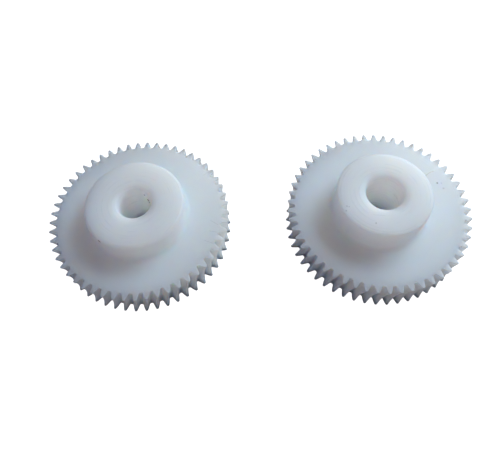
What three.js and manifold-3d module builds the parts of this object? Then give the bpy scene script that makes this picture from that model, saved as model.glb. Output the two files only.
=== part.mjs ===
// Two loose plastic helical pinions, lying side by side with their hubs up.
// Each gear is one solid piece: a toothed disc, a plain round hub standing on its upper face,
// and a plain through bore with a chamfer at each mouth. The teeth are throated: they are hollow
// across the face width, so that they wrap a little way round a worm. The two gears share the
// same teeth and differ in hub and bore.
// Millimetres, +Z up. Both gears rest on z = 0, the line through their axes is the X axis, and
// the origin is midway between them.
import * as THREE from "three";
import { mergeVertices } from "three/addons/utils/BufferGeometryUtils.js";
import Module from "manifold-3d";

const wasm = await Module();
wasm.setup();

// Teeth, the same on both gears.
const NORMAL_MODULE = 1.0;
const TEETH = 53;
const HELIX_ANGLE = THREE.MathUtils.degToRad(11); // right-handed
const NORMAL_PRESSURE_ANGLE = THREE.MathUtils.degToRad(20);
const ADDENDUM = 1.0 * NORMAL_MODULE;
const DEDENDUM = 1.25 * NORMAL_MODULE;
const BACKLASH = 0.2; // taken off each tooth's thickness at the pitch circle
const TIP_ROUND = 0.12;
const ROOT_ROUND = 0.3;
const FLANK_POINTS = 3; // points along each involute flank
const THROAT_RADIUS = 18.0; // radius of the hollow across the face width

// Bodies.
const FACE_WIDTH = 10.0;
const CENTRE_DISTANCE = 74.2;
const HUB_EDGE_CHAMFER = 0.4;
const BORE_CHAMFER = 0.45;
const ROUND_SEGMENTS = 64;
const WIDTH_STEPS = 3; // slices across the face width, which follow the throat and the helix
const CUT_OVERRUN = 1.0; // how far a cutting tool runs past the face it cuts
const WELD_DISTANCE = 1e-4; // vertices closer than this are one vertex

// Each gear's own hub and bore. toothAt is the direction of one tooth on the upper face, in
// degrees from +X.
const LEFT = {
  name: "left_gear",
  centreX: -CENTRE_DISTANCE / 2,
  hubDiameter: 30.0,
  hubHeight: 7.3,
  boreDiameter: 10.0,
  toothAt: 0.6,
  color: 0xdde3ea,
};
const RIGHT = {
  name: "right_gear",
  centreX: CENTRE_DISTANCE / 2,
  hubDiameter: 28.0,
  hubHeight: 8.6,
  boreDiameter: 11.0,
  toothAt: 3.4,
  color: 0xe2e8ee,
};

// Worked out from the teeth, in the plane across the axis.
const PITCH_RADIUS = (NORMAL_MODULE * TEETH) / (2 * Math.cos(HELIX_ANGLE));
const PRESSURE_ANGLE = Math.atan(Math.tan(NORMAL_PRESSURE_ANGLE) / Math.cos(HELIX_ANGLE));
const BASE_RADIUS = PITCH_RADIUS * Math.cos(PRESSURE_ANGLE);
const TIP_RADIUS = PITCH_RADIUS + ADDENDUM;
const ROOT_RADIUS = PITCH_RADIUS - DEDENDUM;
const TOOTH_PITCH = (2 * Math.PI) / TEETH;
const TWIST_PER_MM = Math.tan(HELIX_ANGLE) / PITCH_RADIUS;

const UP = new THREE.Vector3(0, 0, 1);

function involute(angle) {
  return Math.tan(angle) - angle;
}

// Half the angle that a tooth fills at a radius. Below the base circle the flank is radial.
function halfToothAngle(radius) {
  const atPitch = Math.PI / (2 * TEETH) - BACKLASH / (2 * PITCH_RADIUS);
  const onFlank = Math.max(radius, BASE_RADIUS);
  const atRadius = involute(Math.acos(BASE_RADIUS / onFlank));
  return atPitch + involute(PRESSURE_ANGLE) - atRadius;
}

// One flank as [radius, half angle] pairs, between the rounded root and the rounded tip.
function flank() {
  const lowest = ROOT_RADIUS + ROOT_ROUND;
  const highest = TIP_RADIUS - TIP_ROUND;
  return Array.from({ length: FLANK_POINTS }, (_, i) => {
    const radius = THREE.MathUtils.lerp(lowest, highest, i / (FLANK_POINTS - 1));
    return [radius, halfToothAngle(radius)];
  });
}

// One side of a tooth as [radius, half angle] pairs, from the gap's floor to the tip.
function toothSide() {
  const rootAngle = halfToothAngle(ROOT_RADIUS) + ROOT_ROUND / ROOT_RADIUS;
  const tipAngle = halfToothAngle(TIP_RADIUS) - TIP_ROUND / TIP_RADIUS;
  return [[ROOT_RADIUS, rootAngle], ...flank(), [TIP_RADIUS, tipAngle]];
}

// The gear's outline across its axis, with a tooth centred on +X.
function gearOutline() {
  const side = toothSide();
  const rising = side.map(([radius, angle]) => [radius, -angle]);
  const falling = side.toReversed();
  const points = [];
  for (let tooth = 0; tooth < TEETH; tooth++) {
    const centre = tooth * TOOTH_PITCH;
    for (const [radius, angle] of [...rising, ...falling]) {
      const a = centre + angle;
      points.push(new THREE.Vector2(radius * Math.cos(a), radius * Math.sin(a)));
    }
  }
  return points;
}

// How far the teeth are drawn in towards the axis at a height: nothing at either face of the
// disc, and most at its middle.
function throatDepth(height) {
  const half = FACE_WIDTH / 2;
  const edge = Math.sqrt(THROAT_RADIUS ** 2 - half ** 2);
  return Math.sqrt(THROAT_RADIUS ** 2 - (height - half) ** 2) - edge;
}

// Makes the straight teeth of a plain disc throated and helical. It draws each point in by the
// throat's depth and turns it about the Z axis in proportion to its height. The tooth that
// pointed along +X is then at toothAt on the upper face.
function shapeTeeth(geometry, toothAt) {
  const position = geometry.attributes.position;
  const point = new THREE.Vector3();
  for (let i = 0; i < position.count; i++) {
    point.fromBufferAttribute(position, i);
    const height = point.z;
    const radius = Math.hypot(point.x, point.y);
    const angle = THREE.MathUtils.degToRad(toothAt) + TWIST_PER_MM * (height - FACE_WIDTH);
    point.setZ(0).setLength(radius - throatDepth(height)).applyAxisAngle(UP, angle);
    position.setXYZ(i, point.x, point.y, height);
  }
  return geometry;
}

function toothedDisc(toothAt) {
  const shape = new THREE.Shape(gearOutline());
  const extrusion = { depth: FACE_WIDTH, steps: WIDTH_STEPS, bevelEnabled: false };
  return shapeTeeth(new THREE.ExtrudeGeometry(shape, extrusion), toothAt);
}

// A solid of revolution about Z from [radius, height] pairs.
function turned(profile) {
  const points = profile.map(([radius, height]) => new THREE.Vector2(radius, height));
  return new THREE.LatheGeometry(points, ROUND_SEGMENTS).rotateX(Math.PI / 2);
}

// The hub starts inside the disc, so that the two join into one body.
function hub(radius, top) {
  return turned([
    [0, FACE_WIDTH / 2],
    [radius, FACE_WIDTH / 2],
    [radius, top - HUB_EDGE_CHAMFER],
    [radius - HUB_EDGE_CHAMFER, top],
    [0, top],
  ]);
}

// What the drill and the countersink take away.
function boreCutter(radius, top) {
  const mouth = radius + BORE_CHAMFER + CUT_OVERRUN;
  return turned([
    [0, -CUT_OVERRUN],
    [mouth, -CUT_OVERRUN],
    [radius, BORE_CHAMFER],
    [radius, top - BORE_CHAMFER],
    [mouth, top + CUT_OVERRUN],
    [0, top + CUT_OVERRUN],
  ]);
}

function solidOf(geometry) {
  const bare = geometry.clone();
  bare.deleteAttribute("normal");
  bare.deleteAttribute("uv");
  const merged = mergeVertices(bare, WELD_DISTANCE);
  const vertProperties = merged.attributes.position.array;
  const triVerts = new Uint32Array(merged.index.array);
  return new wasm.Manifold(new wasm.Mesh({ numProp: 3, vertProperties, triVerts }));
}

function geometryOf(solid) {
  const mesh = solid.getMesh();
  const geometry = new THREE.BufferGeometry();
  geometry.setAttribute("position", new THREE.BufferAttribute(mesh.vertProperties, 3));
  geometry.setIndex(new THREE.BufferAttribute(mesh.triVerts, 1));
  geometry.computeVertexNormals();
  return geometry;
}

function gear({ name, centreX, hubDiameter, hubHeight, boreDiameter, toothAt, color }) {
  const top = FACE_WIDTH + hubHeight;
  const disc = solidOf(toothedDisc(toothAt));
  const hubSolid = solidOf(hub(hubDiameter / 2, top));
  const cutter = solidOf(boreCutter(boreDiameter / 2, top));
  const solid = disc.add(hubSolid).subtract(cutter);
  const material = new THREE.MeshStandardMaterial({ color, roughness: 0.45, metalness: 0 });
  const mesh = new THREE.Mesh(geometryOf(solid), material);
  mesh.name = name;
  mesh.position.x = centreX;
  return mesh;
}

const gearPair = new THREE.Group();
gearPair.add(gear(LEFT), gear(RIGHT));

export default gearPair;
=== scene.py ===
"""Two loose white plastic helical gears, lying on a pale floor with their hubs up.

Each gear is one fine closed mesh that stands for its CAD node. It has helical involute teeth, slightly
hollow across the face, with rounded tips, roots and edges. It has a flat turned web, a hub with a
rounded rim, and a bore with a chamfer at each mouth.
"""

import math
import random

import bpy
from mathutils import Matrix, Vector

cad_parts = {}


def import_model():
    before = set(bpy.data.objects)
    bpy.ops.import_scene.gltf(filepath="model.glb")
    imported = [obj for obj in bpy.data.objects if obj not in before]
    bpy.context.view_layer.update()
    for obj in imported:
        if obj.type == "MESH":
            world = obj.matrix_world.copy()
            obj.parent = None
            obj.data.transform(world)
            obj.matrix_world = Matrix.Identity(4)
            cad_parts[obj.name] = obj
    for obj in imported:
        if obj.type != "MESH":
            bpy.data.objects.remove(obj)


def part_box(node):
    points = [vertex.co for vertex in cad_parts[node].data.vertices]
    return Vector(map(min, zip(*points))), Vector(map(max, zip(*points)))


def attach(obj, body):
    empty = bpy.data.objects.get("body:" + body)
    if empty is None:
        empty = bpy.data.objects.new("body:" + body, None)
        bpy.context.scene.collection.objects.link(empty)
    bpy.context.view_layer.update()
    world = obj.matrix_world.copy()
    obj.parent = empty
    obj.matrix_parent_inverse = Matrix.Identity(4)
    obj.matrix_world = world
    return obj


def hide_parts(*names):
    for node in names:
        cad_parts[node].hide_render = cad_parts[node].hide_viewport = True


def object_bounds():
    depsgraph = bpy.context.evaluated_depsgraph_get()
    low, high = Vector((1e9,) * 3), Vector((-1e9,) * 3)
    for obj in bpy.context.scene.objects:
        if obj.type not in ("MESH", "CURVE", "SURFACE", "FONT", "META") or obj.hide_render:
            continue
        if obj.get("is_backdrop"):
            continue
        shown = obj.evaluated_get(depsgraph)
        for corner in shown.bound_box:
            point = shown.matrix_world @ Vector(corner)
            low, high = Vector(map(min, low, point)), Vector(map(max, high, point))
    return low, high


MM = 0.001

# Teeth, in millimetres and radians, as the CAD part has them.
NORMAL_MODULE = 1.0
TEETH = 53
HELIX_ANGLE = math.radians(11)
NORMAL_PRESSURE_ANGLE = math.radians(20)
ADDENDUM = 1.0 * NORMAL_MODULE
DEDENDUM = 1.25 * NORMAL_MODULE
BACKLASH = 0.2
FACE_WIDTH = 10.0
THROAT_RADIUS = 18.0  # of the arc that the tips follow across the face

PITCH_RADIUS = NORMAL_MODULE * TEETH / (2 * math.cos(HELIX_ANGLE))
PRESSURE_ANGLE = math.atan(math.tan(NORMAL_PRESSURE_ANGLE) / math.cos(HELIX_ANGLE))
BASE_RADIUS = PITCH_RADIUS * math.cos(PRESSURE_ANGLE)
TIP_RADIUS = PITCH_RADIUS + ADDENDUM
ROOT_RADIUS = PITCH_RADIUS - DEDENDUM
TOOTH_PITCH = 2 * math.pi / TEETH
TWIST_PER_MM = math.tan(HELIX_ANGLE) / PITCH_RADIUS

# Rounding that the CAD part leaves out, in millimetres.
TIP_ROUND = 0.26
ROOT_ROUND = 0.42
TOOTH_EDGE_ROUND = 0.09
HUB_FOOT_ROUND = 1.2
BORE_CHAMFER = 0.45
CHAMFER_EDGE_ROUND = 0.08

# The burr along the teeth's upper edges: its height in millimetres, and its spread in outline points.
BURR_HEIGHT = 0.06
BURR_SPREAD = 2

# How far below the roots the even rings of the two flat faces start, in millimetres.
TOOTH_BASE_DEPTH = 0.45
WEB_EDGE_DEPTH = 1.0

# Mesh steps: up a flank, round a corner, across the face, out over a flat face, and up a wall.
FLANK_STEPS = 7
ROUND_STEPS = 4
FACE_WIDTH_STEPS = 14
REAR_FACE_STEPS = 5
WEB_STEPS = 8
HUB_WALL_STEPS = 4
HUB_FACE_STEPS = 5
BORE_STEPS = 6
WEB_SEGMENTS = TEETH * 12
HUB_SEGMENTS = TEETH * 6

# Each gear's own sizes, in millimetres. tooth_at is the direction of one tooth on the upper face.
GEARS = {
    "left_gear": {
        "body": "left_gear",
        "hub_radius": 15.0,
        "bore_radius": 5.0,
        "rim_round": 0.9,
        "tooth_at": math.radians(0.6),
        "seed": 11,
    },
    "right_gear": {
        "body": "right_gear",
        "hub_radius": 14.0,
        "bore_radius": 5.5,
        "rim_round": 0.5,
        "tooth_at": math.radians(3.4),
        "seed": 29,
    },
}

# Small marks left by handling and cutting, and spots of painted shade, in each gear's own millimetres
# from the middle of its rear face. A speck is (place, radius, darkness) and a scratch is (start, end,
# width, darkness).
SPECKS_AND_SHADE_SPOTS = {
    "left_gear": [
        ((2.2, 4.5, 14.2), 0.3, 0.8),
        ((2.95, 4.05, 11.8), 0.5, 0.92),
        ((3.0, 4.0, 10.6), 0.38, 0.8),
        # Painted shade: the dark notch at the left hub's rim, painted as a dark spot.
        ((-9.28, -11.88, 16.1), 0.62, 1.0),
        ((13.9, 21.4, 10.0), 0.32, 0.6),
    ],
    "right_gear": [
        ((19.6, 8.05, 10.0), 0.33, 0.7),
        ((20.85, 8.0, 10.0), 0.2, 0.45),
        ((21.1, 6.1, 10.0), 0.34, 0.3),
        # Painted shade: dark spots in the right gear's tooth roots, where the deep gaps lie in shade.
        ((25.66, 3.1, 10.0), 0.3, 0.55),
        ((26.1, 0.35, 10.0), 0.28, 0.5),
        ((25.4, -5.5, 10.0), 0.32, 0.5),
        ((24.5, -8.95, 10.0), 0.28, 0.45),
        ((22.0, -14.3, 10.0), 0.36, 0.6),
        ((-11.6, -4.1, 18.6), 0.25, 0.3),
        ((-11.0, -4.3, 18.6), 0.18, 0.3),
        ((-12.0, -5.6, 18.6), 0.3, 0.25),
        ((-4.1, -9.9, 18.6), 0.3, 0.3),
    ],
}
SCRATCHES = {
    "left_gear": [
        ((20.6, -9.6, 10.0), (23.2, -10.6, 10.0), 0.18, 0.16),
        ((22.0, -6.4, 10.0), (24.4, -6.9, 10.0), 0.2, 0.14),
        ((22.3, -2.8, 10.0), (24.6, -4.3, 10.0), 0.16, 0.16),
        ((19.8, 13.9, 10.0), (21.6, 15.2, 10.0), 0.16, 0.12),
    ],
    "right_gear": [
        ((16.4, 10.8, 10.0), (17.9, 12.05, 10.0), 0.26, 0.3),
        ((17.9, 12.05, 10.0), (19.4, 12.6, 10.0), 0.24, 0.3),
        ((-4.4, -7.2, 18.6), (-1.2, -7.6, 18.6), 0.12, 0.14),
    ],
}

# A rough patch on a bore's wall: its middle and its radius.
ROUGH_PATCHES = {
    "left_gear": ((2.9, 4.1, 12.0), 1.2),
    "right_gear": ((5.0, 2.2, 12.4), 2.2),
}

# Colours of the plastic, of what sits on it, and of painted shade in its turning marks, at a rim notch
# and at tooth roots.
PLASTIC_WHITES = ((0.967, 0.968, 0.969, 1), (0.974, 0.974, 0.974, 1))
TORN_PLASTIC = (0.84, 0.84, 0.83, 1)
# Painted shade: the colour of the darker rings in the turning marks.
TURNING_MARK_SHADE = (0.78, 0.80, 0.82, 1)
# Colour of the specks and scratches, and of the spots of painted shade.
DARK_MARK_AND_SHADE = (0.13, 0.12, 0.12, 1)

# The floor: half its side in metres, and what it sends to the camera and back to the gears. The
# latter is a middling warm grey, as from a table.
FLOOR_REACH = 3.0
FLOOR_GAP = 0.05 * MM
FLOOR_WHITE = (0.6, 0.6, 0.6, 1)
FLOOR_BOUNCE = (0.30, 0.27, 0.26, 1)

# The room: what the camera sees behind the floor, and the light that comes in from low down.
BACKDROP = (0.84, 0.87, 0.9, 1)
LOW_LIGHT = (0.66, 0.79, 0.90, 1)
NO_LIGHT = (0.0, 0.0, 0.0, 1)

# Soft lights round the gears. Each is (azimuth and elevation in degrees, width and height in metres,
# power in watts, colour). The window is the main light, from the back right.
LIGHT_DISTANCE = 0.8
LIGHTS = {
    "window": (40, 37, (0.55, 0.4), 5.45, (0.72, 0.88, 1.0)),
    "room_front": (275, 62, (0.3, 0.3), 1.0, (1.0, 0.82, 0.75)),
    "room_low": (293, 26, (0.5, 0.5), 0.32, (0.88, 0.84, 1.0)),
    "sky_left": (180, 28, (0.5, 0.5), 0.44, (0.3, 0.4, 1.0)),
    "lamp": (92, 28, (0.4, 0.4), 0.68, (1.0, 0.77, 0.51)),
}

# The small light under each bore: its width in bore radii, height above the floor, power and colour.
GLOW_WIDTH = 1.3
GLOW_HEIGHT = 0.1 * MM
GLOW_POWER = 8e-5
GLOW_COLOUR = (0.88, 0.93, 1.0)

# The camera looks at a point a little left of the middle, in millimetres and degrees.
CAMERA_LENS = 33.882
CAMERA_SHIFT = (0.0167, 0.0006)
CAMERA_AIM = (-5.47, 0.37, 0)
CAMERA_DISTANCE = 155.04
CAMERA_ELEVATION = 62.527
CAMERA_AZIMUTH = 2.643
CAMERA_ROLL = -4.082


# ---------------------------------------------------------------------------------------------
# Tooth form


def involute(angle):
    """The involute function of a pressure angle."""
    return math.tan(angle) - angle


def half_tooth_angle(radius):
    """Half the angle that a tooth fills at a radius."""
    at_pitch = math.pi / (2 * TEETH) - BACKLASH / (2 * PITCH_RADIUS)
    at_radius = involute(math.acos(BASE_RADIUS / radius))
    return at_pitch + involute(PRESSURE_ANGLE) - at_radius


def polar(radius, angle):
    """A 2-D point at a distance and direction from the axis."""
    return Vector((radius * math.cos(angle), radius * math.sin(angle)))


def rounded_corner(before, corner, after, steps):
    """Points of a smooth curve from before to after that turns at corner."""
    points = []
    for i in range(steps + 1):
        t = i / steps
        points.append(before * (1 - t) ** 2 + corner * (2 * t * (1 - t)) + after * t ** 2)
    return points


def tooth_side():
    """One side of a tooth centred on +X, from the middle of the gap to just before the tip's middle."""
    root_angle = half_tooth_angle(ROOT_RADIUS)
    tip_angle = half_tooth_angle(TIP_RADIUS)
    on_root = polar(ROOT_RADIUS, root_angle + ROOT_ROUND / ROOT_RADIUS)
    on_tip = polar(TIP_RADIUS, tip_angle - TIP_ROUND / TIP_RADIUS)
    low = ROOT_RADIUS + ROOT_ROUND
    high = TIP_RADIUS - TIP_ROUND
    flank = []
    for i in range(FLANK_STEPS + 1):
        radius = low + (high - low) * i / FLANK_STEPS
        flank.append(polar(radius, half_tooth_angle(radius)))
    root = rounded_corner(on_root, polar(ROOT_RADIUS, root_angle), flank[0], ROUND_STEPS)
    tip = rounded_corner(flank[-1], polar(TIP_RADIUS, tip_angle), on_tip, ROUND_STEPS)
    gap_middle = polar(ROOT_RADIUS, TOOTH_PITCH / 2)
    return [gap_middle] + root + flank[1:-1] + tip


def tooth_outline():
    """The whole gear's outline across its axis, turning from +X towards +Y, as 2-D points."""
    upper = tooth_side()
    lower = [Vector((p.x, -p.y)) for p in upper]
    tip_middle = Vector((TIP_RADIUS, 0))
    tooth = lower + [tip_middle] + upper[:0:-1]
    outline = []
    for number in range(TEETH):
        turn = Matrix.Rotation(number * TOOTH_PITCH, 2)
        outline += [turn @ p for p in tooth]
    return outline


def tooth_base_outline(count):
    """A circle under the teeth, with as many evenly spread points as the outline above it."""
    points = []
    for i in range(count):
        angle = 2 * math.pi * i / count - TOOTH_PITCH / 2
        points.append(polar(ROOT_RADIUS - TOOTH_BASE_DEPTH, angle))
    return points


def inset(outline, distance):
    """The outline moved inwards, square to itself."""
    moved = []
    count = len(outline)
    for i, point in enumerate(outline):
        along = outline[(i + 1) % count] - outline[i - 1]
        inward = Vector((-along.y, along.x)).normalized()
        moved.append(point + inward * distance)
    return moved


# ---------------------------------------------------------------------------------------------
# Rings, and the closed surface that joins them


def throat_depth(height):
    """How far the teeth are drawn in: nothing at either face of the disc, most at its middle."""
    half = FACE_WIDTH / 2
    edge = math.sqrt(THROAT_RADIUS ** 2 - half ** 2)
    return math.sqrt(THROAT_RADIUS ** 2 - (height - half) ** 2) - edge


def tooth_ring(outline, height, tooth_at):
    """The outline at a height, drawn in by the throat and turned by the helix."""
    turn = Matrix.Rotation(tooth_at + TWIST_PER_MM * (height - FACE_WIDTH), 2)
    drawn_in = throat_depth(height)
    ring = []
    for point in outline:
        placed = turn @ point * (1 - drawn_in / point.length)
        ring.append(Vector((placed.x, placed.y, height)))
    return ring


def circle_ring(radius, height, segments):
    """A plain ring about the axis."""
    ring = []
    for i in range(segments):
        angle = 2 * math.pi * i / segments
        ring.append(Vector((radius * math.cos(angle), radius * math.sin(angle), height)))
    return ring


def arc(centre, radius, start, end, steps):
    """(distance, height) pairs round a centre, from one direction to another, in degrees."""
    points = []
    for i in range(steps + 1):
        angle = math.radians(start + (end - start) * i / steps)
        points.append((centre[0] + radius * math.cos(angle), centre[1] + radius * math.sin(angle)))
    return points


def straight(start, end, steps):
    """(distance, height) pairs strictly between two points."""
    points = []
    for i in range(1, steps):
        t = i / steps
        points.append((start[0] + (end[0] - start[0]) * t, start[1] + (end[1] - start[1]) * t))
    return points


def ring_angles(ring):
    """Each point's direction, rising from the first one."""
    angles = [math.atan2(ring[0].y, ring[0].x)]
    for point in ring[1:]:
        angle = math.atan2(point.y, point.x)
        while angle < angles[-1] - math.pi:
            angle += 2 * math.pi
        angles.append(angle)
    return angles


def join_equal(faces, inner, outer):
    """Joins rings with the same number of points by four-sided faces."""
    count = len(inner)
    for i in range(count):
        j = (i + 1) % count
        faces.append((inner[i], inner[j], outer[j], outer[i]))


def join_unequal(faces, inner, outer, inner_angles, outer_angles):
    """Joins rings with different numbers of points by triangles, in order of direction."""
    full = 2 * math.pi
    first = min(
        range(len(outer)),
        key=lambda k: abs((outer_angles[k] - inner_angles[0] + math.pi) % full - math.pi),
    )
    shift = round((inner_angles[0] - outer_angles[first]) / full) * full
    a = inner_angles + [inner_angles[0] + full]
    b = [
        outer_angles[(first + k) % len(outer)] + shift + (full if first + k >= len(outer) else 0)
        for k in range(len(outer) + 1)
    ]
    i = 0
    j = 0
    while i < len(inner) or j < len(outer):
        here = inner[i % len(inner)]
        there = outer[(first + j) % len(outer)]
        next_here = a[i + 1] if i < len(inner) else math.inf
        next_there = b[j + 1] if j < len(outer) else math.inf
        if next_here <= next_there:
            i += 1
            faces.append((here, inner[i % len(inner)], there))
        else:
            j += 1
            faces.append((here, outer[(first + j) % len(outer)], there))


def closed_surface(rings):
    """Vertices and faces of the closed surface through a chain of rings, back to the first ring."""
    vertices = []
    numbered = []
    for ring in rings:
        numbered.append(range(len(vertices), len(vertices) + len(ring)))
        vertices += ring
    faces = []
    for i, ring in enumerate(rings):
        j = (i + 1) % len(rings)
        if len(ring) == len(rings[j]):
            join_equal(faces, numbered[i], numbered[j])
        else:
            join_unequal(faces, numbered[i], numbered[j], ring_angles(ring), ring_angles(rings[j]))
    return vertices, faces


# ---------------------------------------------------------------------------------------------
# One gear's rings, from the bore's lower mouth out, up the teeth, in over the hub and down the bore


def rear_face_rings(bore_radius):
    """The lower chamfer of the bore, and the rear face out to just short of the teeth."""
    mouth = bore_radius + BORE_CHAMFER
    profile = [(bore_radius, BORE_CHAMFER), (mouth, 0)]
    edge = (ROOT_RADIUS - WEB_EDGE_DEPTH, 0)
    profile += straight((mouth, 0), edge, REAR_FACE_STEPS)
    profile += [edge]
    return [circle_ring(r, z, HUB_SEGMENTS) for r, z in profile]


def burr_heights(count, seed):
    """How far the cutter's burr stands above the upper face at each point of the outline."""
    chance = random.Random(seed)
    raw = [chance.uniform(-BURR_HEIGHT, BURR_HEIGHT) for _ in range(count)]
    heights = []
    for i in range(count):
        near = [raw[(i + k) % count] for k in range(-BURR_SPREAD, BURR_SPREAD + 1)]
        heights.append(max(0.0, sum(near) / math.sqrt(len(near))))
    return heights


def tooth_rings(outline, tooth_at, seed):
    """The teeth from the rear face up: a rounded edge, the flanks, a rounded edge and its burr."""
    base = tooth_base_outline(len(outline))
    rings = [tooth_ring(base, 0, tooth_at)]
    for i in range(ROUND_STEPS):
        lean = math.radians(90 * (1 - i / ROUND_STEPS))
        depth = TOOTH_EDGE_ROUND * (1 - math.cos(lean))
        height = TOOTH_EDGE_ROUND * (1 - math.sin(lean))
        rings.append(tooth_ring(inset(outline, depth), height, tooth_at))
    for i in range(FACE_WIDTH_STEPS + 1):
        share = i / FACE_WIDTH_STEPS
        height = TOOTH_EDGE_ROUND + (FACE_WIDTH - 2 * TOOTH_EDGE_ROUND) * share
        rings.append(tooth_ring(outline, height, tooth_at))
    for i in range(1, ROUND_STEPS + 1):
        lean = math.radians(90 * i / ROUND_STEPS)
        depth = TOOTH_EDGE_ROUND * (1 - math.cos(lean))
        height = FACE_WIDTH - TOOTH_EDGE_ROUND * (1 - math.sin(lean))
        rings.append(tooth_ring(inset(outline, depth), height, tooth_at))
    burr = burr_heights(len(outline), seed)
    for point, height in zip(rings[-2], burr):
        point.z += height
    rings.append(tooth_ring(base, FACE_WIDTH, tooth_at))
    return rings


def web_rings(hub_radius):
    """The flat upper face, from the teeth in to the foot of the hub."""
    outer = (ROOT_RADIUS - WEB_EDGE_DEPTH, FACE_WIDTH)
    inner = (hub_radius + HUB_FOOT_ROUND, FACE_WIDTH)
    profile = [outer] + straight(outer, inner, WEB_STEPS)
    return [circle_ring(r, z, WEB_SEGMENTS) for r, z in profile]


def hub_rings(hub_radius, rim_round, bore_radius, top):
    """The hub from its foot up the wall, over the rim, across its face and down the bore."""
    foot = (hub_radius + HUB_FOOT_ROUND, FACE_WIDTH + HUB_FOOT_ROUND)
    rim = (hub_radius - rim_round, top - rim_round)
    mouth = bore_radius + BORE_CHAMFER
    lip = mouth + CHAMFER_EDGE_ROUND
    profile = arc(foot, HUB_FOOT_ROUND, 270, 180, ROUND_STEPS)
    profile += straight(profile[-1], (hub_radius, rim[1]), HUB_WALL_STEPS)
    profile += arc(rim, rim_round, 0, 90, 2 * ROUND_STEPS)
    profile += straight((rim[0], top), (lip, top), HUB_FACE_STEPS)
    profile += [(lip, top), (mouth, top - CHAMFER_EDGE_ROUND)]
    bore_top = (bore_radius, top - BORE_CHAMFER)
    profile += [bore_top]
    profile += straight(bore_top, (bore_radius, BORE_CHAMFER), BORE_STEPS)
    return [circle_ring(r, z, HUB_SEGMENTS) for r, z in profile]


def gear_mesh(name, sizes, centre, top):
    """The whole gear as one closed mesh, with each point's place in the gear kept for its material."""
    outline = tooth_outline()
    rings = rear_face_rings(sizes["bore_radius"])
    rings += tooth_rings(outline, sizes["tooth_at"], sizes["seed"])
    rings += web_rings(sizes["hub_radius"])
    rings += hub_rings(sizes["hub_radius"], sizes["rim_round"], sizes["bore_radius"], top)
    vertices, faces = closed_surface(rings)
    mesh = bpy.data.meshes.new(name)
    mesh.from_pydata([centre + v * MM for v in vertices], [], faces)
    mesh.validate()
    local = mesh.attributes.new("gear_mm", "FLOAT_VECTOR", "POINT")
    local.data.foreach_set("vector", [c for v in vertices for c in v])
    mesh.shade_smooth()
    return mesh


# ---------------------------------------------------------------------------------------------
# Material


class Nodes:
    """A short way to add nodes to a material and join them."""

    def __init__(self, tree):
        self.tree = tree

    def add(self, kind, inputs=None, **settings):
        """A new node. Each input is a value, or another node's output to link."""
        node = self.tree.nodes.new(kind)
        for key, value in settings.items():
            setattr(node, key, value)
        for key, value in (inputs or {}).items():
            if isinstance(value, bpy.types.NodeSocket):
                self.tree.links.new(value, node.inputs[key])
            else:
                node.inputs[key].default_value = value
        return node

    def math(self, operation, a, b=0.0, clamp=False):
        node = self.add("ShaderNodeMath", {0: a, 1: b}, operation=operation, use_clamp=clamp)
        return node.outputs[0]

    def vector(self, operation, a, b=(0.0, 0.0, 0.0)):
        """A vector operation. LENGTH, DISTANCE and DOT_PRODUCT give a number, and the rest a vector."""
        node = self.add("ShaderNodeVectorMath", {0: a, 1: b}, operation=operation)
        number = operation in ("LENGTH", "DISTANCE", "DOT_PRODUCT")
        return node.outputs["Value" if number else "Vector"]

    def bump(self, height, strength, millimetres, before=None):
        """A normal tilted by a height, on top of an earlier one if given."""
        inputs = {"Height": height, "Strength": strength, "Distance": millimetres * MM}
        if before is not None:
            inputs["Normal"] = before
        return self.add("ShaderNodeBump", inputs).outputs[0]

    def noise(self, vector, scale, detail=3.0, roughness=0.5):
        inputs = {"Vector": vector, "Scale": scale, "Detail": detail, "Roughness": roughness}
        return self.add("ShaderNodeTexNoise", inputs).outputs[0]

    def ramp(self, value, low, high, to_low=0.0, to_high=1.0):
        inputs = {"Value": value, "From Min": low, "From Max": high, "To Min": to_low, "To Max": to_high}
        return self.add("ShaderNodeMapRange", inputs).outputs[0]

    def mix_colour(self, share, a, b):
        node = self.add("ShaderNodeMix", {0: share, 6: a, 7: b}, data_type="RGBA")
        return node.outputs[2]


def spot_mask(n, place, wobble, centre, size):
    """1 inside a small uneven spot and 0 outside it."""
    distance = n.vector("DISTANCE", place, centre)
    edge = n.math("ADD", distance, n.math("MULTIPLY", wobble, 0.7 * size))
    return n.ramp(edge, 0.9 * size, 1.5 * size, 1.0, 0.0)


def scratch_mask(n, place, wobble, start, end, width):
    """1 along a thin uneven line and 0 away from it."""
    along = Vector(end) - Vector(start)
    from_start = n.vector("SUBTRACT", place, start)
    share = n.math("DIVIDE", n.vector("DOT_PRODUCT", from_start, tuple(along)), along.length_squared)
    share = n.math("ADD", share, 0.0, clamp=True)
    nearest = n.add("ShaderNodeVectorMath", {0: tuple(along), "Scale": share}, operation="SCALE")
    distance = n.vector("DISTANCE", from_start, nearest.outputs[0])
    edge = n.math("ADD", distance, n.math("MULTIPLY", wobble, 0.8 * width))
    return n.ramp(edge, 0.5 * width, 1.4 * width, 1.0, 0.0)


def mark_and_shade_mask(n, place, name):
    """How dark each point is made by the gear's specks and scratches, and by its spots of painted shade.
    """
    wobble = n.noise(place, 2.6, 3.0)
    mark_and_shade = 0.0
    for centre, size, darkness in SPECKS_AND_SHADE_SPOTS[name]:
        mask = spot_mask(n, place, wobble, centre, size)
        mark_and_shade = n.math("MAXIMUM", mark_and_shade, n.math("MULTIPLY", mask, darkness))
    for start, end, width, darkness in SCRATCHES[name]:
        mask = scratch_mask(n, place, wobble, start, end, width)
        mark_and_shade = n.math("MAXIMUM", mark_and_shade, n.math("MULTIPLY", mask, darkness))
    return mark_and_shade


def round_the_axis(n, place):
    """A place's distance from the axis, and a vector of that distance and its height."""
    radius = n.vector("LENGTH", n.vector("MULTIPLY", place, (1.0, 1.0, 0.0)))
    height = n.add("ShaderNodeSeparateXYZ", {0: place}).outputs[2]
    return radius, n.add("ShaderNodeCombineXYZ", {0: radius, 2: height}).outputs[0]


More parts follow.
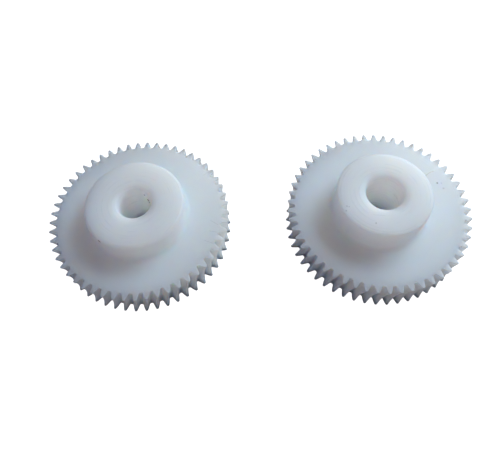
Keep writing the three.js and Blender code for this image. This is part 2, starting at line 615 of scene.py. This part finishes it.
def turning_marks(n, place):
    """Fine rings about the axis, as a lathe leaves them, stronger near the bore."""
    radius, turned = round_the_axis(n, place)
    feed = n.noise(turned, 4.5, 2.0)
    chatter = n.noise(turned, 0.9, 2.0)
    rings = n.math("ADD", n.math("MULTIPLY", feed, 0.6), n.math("MULTIPLY", chatter, 0.8))
    return n.math("MULTIPLY", rings, n.ramp(radius, 6.0, 12.0, 1.0, 0.45))


def painted_ring_shade(n, place):
    """Faint broken darker rings: painted shade in the deeper turning marks of the hub and the web,
    stronger towards the middle.
    """
    radius, turned = round_the_axis(n, place)
    rings = n.ramp(n.noise(turned, 1.5, 2.0, 0.7), 0.5, 0.66)
    broken = n.ramp(n.noise(place, 0.2, 2.0), 0.42, 0.62)
    return n.math("MULTIPLY", n.math("MULTIPLY", rings, broken), n.ramp(radius, 9.0, 17.0, 0.55, 0.12))


def plastic(name):
    """Satin white acetal: light sinks in and spreads, blue less far than red."""
    material = bpy.data.materials.new(name + "_acetal")
    material.use_nodes = True
    tree = material.node_tree
    tree.nodes.clear()
    n = Nodes(tree)
    place = n.add("ShaderNodeAttribute", attribute_name="gear_mm").outputs["Vector"]
    cloud = n.noise(place, 0.14, 3.0)
    fine = n.noise(place, 3.2, 4.0)
    mark_and_shade = mark_and_shade_mask(n, place, name)
    patch_centre, patch_size = ROUGH_PATCHES[name]
    patch = n.ramp(n.vector("DISTANCE", place, patch_centre), 0.4 * patch_size, patch_size, 1.0, 0.0)
    torn = n.math("MULTIPLY", n.noise(place, 1.3, 5.0, 0.65), patch)

    shade = n.mix_colour(n.ramp(cloud, 0.35, 0.65), *PLASTIC_WHITES)
    shade = n.mix_colour(n.ramp(torn, 0.4, 0.6, 0.0, 0.6), shade, TORN_PLASTIC)
    # Painted shade: darker broken rings in the turning marks, standing in for the shade of their grooves.
    shade = n.mix_colour(painted_ring_shade(n, place), shade, TURNING_MARK_SHADE)
    # Dark specks and scratches, with painted shade at the left rim notch and at the right gear's tooth
    # roots.
    colour = n.mix_colour(mark_and_shade, shade, DARK_MARK_AND_SHADE)
    roughness = n.ramp(fine, 0.3, 0.7, 0.5, 0.62)

    bump = n.bump(turning_marks(n, place), 0.7, 0.07)
    bump = n.bump(fine, 0.3, 0.015, bump)
    bump = n.bump(torn, 0.8, 0.25, bump)
    bump = n.bump(n.math("MULTIPLY", mark_and_shade, -1.0), 0.6, 0.08, bump)
    shader = n.add(
        "ShaderNodeBsdfPrincipled",
        {
            "Base Color": colour,
            "Roughness": roughness,
            "IOR": 1.48,
            "Subsurface Weight": 1.0,
            "Subsurface Radius": (1.4, 1.0, 0.75),
            "Subsurface Scale": 14 * MM,
            "Normal": bump,
        },
    )
    output = n.add("ShaderNodeOutputMaterial")
    tree.links.new(shader.outputs[0], output.inputs[0])
    return material


# ---------------------------------------------------------------------------------------------
# Gears, floor, lights and camera


def make_gear(name, sizes):
    """One gear in the place of its CAD node, with its material."""
    low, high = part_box(name)
    centre = Vector(((low.x + high.x) / 2, (low.y + high.y) / 2, low.z))
    mesh = gear_mesh(name + "_moulded", sizes, centre, (high.z - low.z) / MM)
    gear = bpy.data.objects.new(name + "_plastic", mesh)
    bpy.context.scene.collection.objects.link(gear)
    mesh.materials.append(plastic(name))
    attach(gear, sizes["body"])
    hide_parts(name)
    return gear


def make_floor():
    """A plain pale floor just under the gears. The camera sees it lit up almost to white."""
    mesh = bpy.data.meshes.new("floor")
    r = FLOOR_REACH
    corners = [(x, y, -FLOOR_GAP) for x, y in ((-r, -r), (r, -r), (r, r), (-r, r))]
    mesh.from_pydata(corners, [], [(0, 1, 2, 3)])
    floor = bpy.data.objects.new("floor", mesh)
    bpy.context.scene.collection.objects.link(floor)
    material = bpy.data.materials.new("floor_white")
    material.use_nodes = True
    tree = material.node_tree
    n = Nodes(tree)
    seen = n.add("ShaderNodeLightPath").outputs["Is Camera Ray"]
    shader = tree.nodes["Principled BSDF"]
    colour = n.mix_colour(seen, FLOOR_BOUNCE, FLOOR_WHITE)
    tree.links.new(colour, shader.inputs["Base Color"])
    tree.links.new(seen, shader.inputs["Emission Strength"])
    shader.inputs["Emission Color"].default_value = (1, 1, 1, 1)
    shader.inputs["Roughness"].default_value = 0.9
    mesh.materials.append(material)
    floor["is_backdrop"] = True
    return floor


def direction_to(azimuth, elevation):
    """A unit vector. Azimuth turns from +X, the right, towards +Y, the back."""
    around = math.radians(azimuth)
    up = math.radians(elevation)
    flat = math.cos(up)
    return Vector((flat * math.cos(around), flat * math.sin(around), math.sin(up)))


def area_light(name, target, azimuth, elevation, distance, size, power, colour):
    """A wide flat light that faces the target from a direction. size is its width and height."""
    data = bpy.data.lights.new(name, "AREA")
    data.shape = "RECTANGLE"
    data.size = size[0]
    data.size_y = size[1]
    data.energy = power
    data.color = colour
    light = bpy.data.objects.new(name, data)
    away = direction_to(azimuth, elevation)
    light.location = target + away * distance
    light.rotation_euler = (-away).to_track_quat("-Z", "Y").to_euler()
    bpy.context.scene.collection.objects.link(light)
    return light


def make_world():
    """A dim room: no light from above and a little bluish light from low down, behind a pale backdrop."""
    world = bpy.data.worlds.new("studio")
    world.use_nodes = True
    bpy.context.scene.world = world
    tree = world.node_tree
    tree.nodes.clear()
    n = Nodes(tree)
    direction = n.add("ShaderNodeTexCoord").outputs["Generated"]
    height = n.add("ShaderNodeSeparateXYZ", {0: direction}).outputs[2]
    light = n.mix_colour(n.ramp(height, -0.05, 0.3), LOW_LIGHT, NO_LIGHT)
    seen = n.add("ShaderNodeLightPath").outputs["Is Camera Ray"]
    colour = n.mix_colour(seen, light, BACKDROP)
    background = n.add("ShaderNodeBackground", {"Color": colour, "Strength": 1.0})
    output = n.add("ShaderNodeOutputWorld")
    tree.links.new(background.outputs[0], output.inputs[0])


def bore_glow(body, bore_radius):
    """Light from the pale table below, which comes up a bore and softens its lower wall."""
    low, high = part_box(body)
    place = Vector(((low.x + high.x) / 2, (low.y + high.y) / 2, low.z + GLOW_HEIGHT))
    distance = 0.02
    above = place + Vector((0, 0, distance))
    width = GLOW_WIDTH * bore_radius * MM
    size = (width, width)
    glow = area_light(body + "_bore_glow", above, 0, -90, distance, size, GLOW_POWER, GLOW_COLOUR)
    glow.visible_camera = False


def make_lights(middle):
    """The soft lights round the gears, and the small one under each bore."""
    for name, (azimuth, elevation, size, power, colour) in LIGHTS.items():
        area_light(name, middle, azimuth, elevation, LIGHT_DISTANCE, size, power, colour)
    for body, sizes in GEARS.items():
        bore_glow(body, sizes["bore_radius"])


def make_camera(middle):
    """A close view from above and in front, 62.5 degrees above the floor."""
    data = bpy.data.cameras.new("camera")
    data.sensor_width = 36
    data.lens = CAMERA_LENS
    data.shift_x = CAMERA_SHIFT[0]
    data.shift_y = CAMERA_SHIFT[1]
    data.clip_start = 0.01
    data.clip_end = 10
    camera = bpy.data.objects.new("camera", data)
    bpy.context.scene.collection.objects.link(camera)
    tilt = math.radians(90) - math.radians(CAMERA_ELEVATION)
    aim = middle + Vector(CAMERA_AIM) * MM
    turn = Matrix.Rotation(math.radians(CAMERA_AZIMUTH), 4, "Z")
    turn @= Matrix.Rotation(tilt, 4, "X")
    turn @= Matrix.Rotation(math.radians(CAMERA_ROLL), 4, "Z")
    back = turn @ Vector((0, 0, CAMERA_DISTANCE * MM))
    camera.matrix_world = Matrix.Translation(aim + back) @ turn
    bpy.context.scene.camera = camera


def main():
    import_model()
    cad_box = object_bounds()
    low, high = cad_box
    middle = Vector(((low.x + high.x) / 2, (low.y + high.y) / 2, low.z))
    bpy.context.scene.view_settings.view_transform = "Standard"
    for name, sizes in GEARS.items():
        make_gear(name, sizes)
    make_floor()
    make_world()
    make_lights(middle)
    make_camera(middle)
    sizes = {
        "cad": [list(corner) for corner in cad_box],
        "visual": [list(corner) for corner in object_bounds()],
    }


main()
